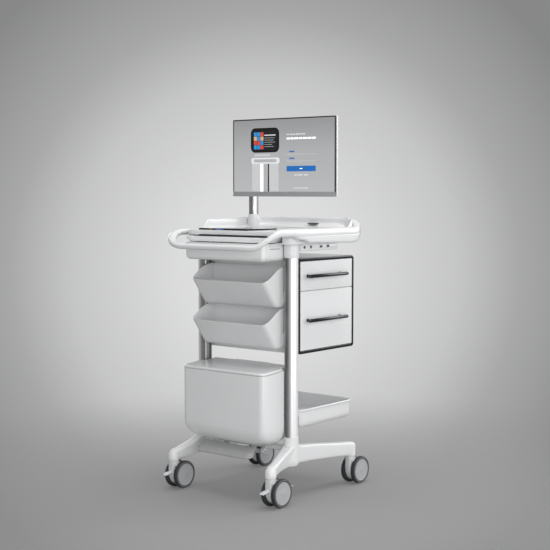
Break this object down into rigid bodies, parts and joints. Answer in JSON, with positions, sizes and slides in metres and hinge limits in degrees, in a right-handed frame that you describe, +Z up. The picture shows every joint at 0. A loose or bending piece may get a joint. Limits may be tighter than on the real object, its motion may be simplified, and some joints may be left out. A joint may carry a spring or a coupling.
{
  "type": "mobile medical workstation",
  "caption": "Mobile medical cart with a swivelling monitor, slide-out keyboard tray, handle loop, open storage bins, pedal waste bin, side drawers, lower tray and braked twin-wheel casters.",
  "frame": {"origin": "on the floor, at the middle of the object's bounding box in plan", "axes": "+Z up; -Y is the user's side, with the front handle bar and the keyboard tray; +X is the side that the drawers open towards"},
  "size_m": [0.56, 0.5955, 1.347],
  "materials": {
    "white_shell": "gloss white moulding",
    "white_casting": "smooth white powder coat",
    "chrome_tube": "polished chrome",
    "steel": "brushed",
    "caster_grey": "satin grey nylon",
    "hub_grey": "satin light grey",
    "caster_tread": "dark grey polyurethane",
    "treadle_grey": "satin light grey",
    "black_glass": "black, polished",
    "dark_plastic": "fine texture",
    "key_silicone": "matte silicone",
    "arm_aluminium": "satin",
    "monitor_silver": "satin silver",
    "screen": "display glass"
  },
  "bodies": {
    "frame": {"base_leg_left": "white_casting", "base_leg_right": "white_casting", "base_crossbeam": "white_casting", "column_left": "chrome_tube", "column_right": "chrome_tube", "column_collars": "white_shell", "column_brackets": "steel", "worktop_undershell": "white_shell", "worktop_deck": "white_shell", "handle_ring": "white_shell", "guard_wall": "white_shell", "touch_panel": "black_glass", "tray_rails": "steel", "console_body": "white_shell", "io_housing": "white_shell", "io_ports": "dark_plastic", "storage_bin_upper": "white_shell", "storage_bin_lower": "white_shell", "waste_bin_body": "white_shell", "hinge_pins": "steel", "drawer_cabinet": "white_shell", "cabinet_trim": "chrome_tube", "drawer_slides": "steel", "lower_tray": "white_shell", "monitor_pole": "chrome_tube", "pole_collar": "white_shell"},
    "swivel_fl": {"caster_body_fl": "caster_grey", "caster_axle_fl": "steel"},
    "wheels_fl": {"caster_hubs_fl": "hub_grey", "caster_tyres_fl": "caster_tread"},
    "brake_fl": {"brake_rocker_fl": "treadle_grey"},
    "swivel_fr": {"caster_body_fr": "caster_grey", "caster_axle_fr": "steel"},
    "wheels_fr": {"caster_hubs_fr": "hub_grey", "caster_tyres_fr": "caster_tread"},
    "brake_fr": {"brake_rocker_fr": "treadle_grey"},
    "swivel_bl": {"caster_body_bl": "caster_grey", "caster_axle_bl": "steel"},
    "wheels_bl": {"caster_hubs_bl": "hub_grey", "caster_tyres_bl": "caster_tread"},
    "swivel_br": {"caster_body_br": "caster_grey", "caster_axle_br": "steel"},
    "wheels_br": {"caster_hubs_br": "hub_grey", "caster_tyres_br": "caster_tread"},
    "key_tray": {"keyboard_tray": "white_shell", "keyboard_base": "dark_plastic", "keyboard_keymat": "key_silicone"},
    "battery": {"battery_module": "white_shell"},
    "lid": {"waste_bin_lid": "white_shell"},
    "pedal": {"foot_pedal": "white_shell"},
    "drawer_top": {"drawer_upper": "white_shell", "drawer_handle_upper": "chrome_tube"},
    "drawer_bottom": {"drawer_lower": "white_shell", "drawer_handle_lower": "chrome_tube"},
    "arm": {"monitor_arm": "arm_aluminium"},
    "head": {"monitor_head": "arm_aluminium"},
    "monitor": {"vesa_plate": "arm_aluminium", "monitor_rear_cover": "monitor_silver", "monitor_bezel": "monitor_silver", "display_panel": "screen"}
  },
  "joints": [
    {"name": "caster_swivel_fl", "type": "hinge", "parent": "frame", "child": "swivel_fl", "pos_m": [-0.227, -0.249, 0.104], "axis": [0, 0, 1], "continuous": true},
    {"name": "wheel_roll_fl", "type": "hinge", "parent": "swivel_fl", "child": "wheels_fl", "pos_m": [-0.227, -0.217, 0.05], "axis": [1, 0, 0], "continuous": true},
    {"name": "brake_rock_fl", "type": "hinge", "parent": "swivel_fl", "child": "brake_fl", "pos_m": [-0.227, -0.217, 0.066], "axis": [1, 0, 0], "range_deg": [-6, 6]},
    {"name": "caster_swivel_fr", "type": "hinge", "parent": "frame", "child": "swivel_fr", "pos_m": [0.227, -0.249, 0.104], "axis": [0, 0, 1], "continuous": true},
    {"name": "wheel_roll_fr", "type": "hinge", "parent": "swivel_fr", "child": "wheels_fr", "pos_m": [0.227, -0.217, 0.05], "axis": [1, 0, 0], "continuous": true},
    {"name": "brake_rock_fr", "type": "hinge", "parent": "swivel_fr", "child": "brake_fr", "pos_m": [0.227, -0.217, 0.066], "axis": [1, 0, 0], "range_deg": [-6, 6]},
    {"name": "caster_swivel_bl", "type": "hinge", "parent": "frame", "child": "swivel_bl", "pos_m": [-0.227, 0.215, 0.104], "axis": [0, 0, 1], "continuous": true},
    {"name": "wheel_roll_bl", "type": "hinge", "parent": "swivel_bl", "child": "wheels_bl", "pos_m": [-0.227, 0.247, 0.05], "axis": [1, 0, 0], "continuous": true},
    {"name": "caster_swivel_br", "type": "hinge", "parent": "frame", "child": "swivel_br", "pos_m": [0.227, 0.215, 0.104], "axis": [0, 0, 1], "continuous": true},
    {"name": "wheel_roll_br", "type": "hinge", "parent": "swivel_br", "child": "wheels_br", "pos_m": [0.227, 0.247, 0.05], "axis": [1, 0, 0], "continuous": true},
    {"name": "key_tray_slide", "type": "slide", "parent": "frame", "child": "key_tray", "axis": [0, -1, 0], "range_m": [0, 0.15]},
    {"name": "battery_slide", "type": "slide", "parent": "frame", "child": "battery", "axis": [1, 0, 0], "range_m": [0, 0.12]},
    {"name": "lid_open", "type": "hinge", "parent": "frame", "child": "lid", "pos_m": [0, -0.073, 0.462], "axis": [-1, 0, 0], "range_deg": [0, 30]},
    {"name": "pedal_press", "type": "hinge", "parent": "frame", "child": "pedal", "pos_m": [0, -0.122, 0.158], "axis": [1, 0, 0], "range_deg": [0, 10]},
    {"name": "drawer_top_slide", "type": "slide", "parent": "frame", "child": "drawer_top", "axis": [1, 0, 0], "range_m": [0, 0.3]},
    {"name": "drawer_bottom_slide", "type": "slide", "parent": "frame", "child": "drawer_bottom", "axis": [1, 0, 0], "range_m": [0, 0.3]},
    {"name": "arm_swing", "type": "hinge", "parent": "frame", "child": "arm", "pos_m": [-0.214, 0.188, 1.203], "axis": [0, 0, 1], "range_deg": [-60, 60]},
    {"name": "monitor_swivel", "type": "hinge", "parent": "arm", "child": "head", "pos_m": [0, 0.172, 1.203], "axis": [0, 0, 1], "range_deg": [-5, 40]},
    {"name": "monitor_tilt", "type": "hinge", "parent": "head", "child": "monitor", "pos_m": [0, 0.131, 1.203], "axis": [-1, 0, 0], "range_deg": [-5, 15]}
  ],
  "couplings": [
    {"joint": "pedal_press", "follows": "lid_open", "ratio": 0.3333}
  ]
}
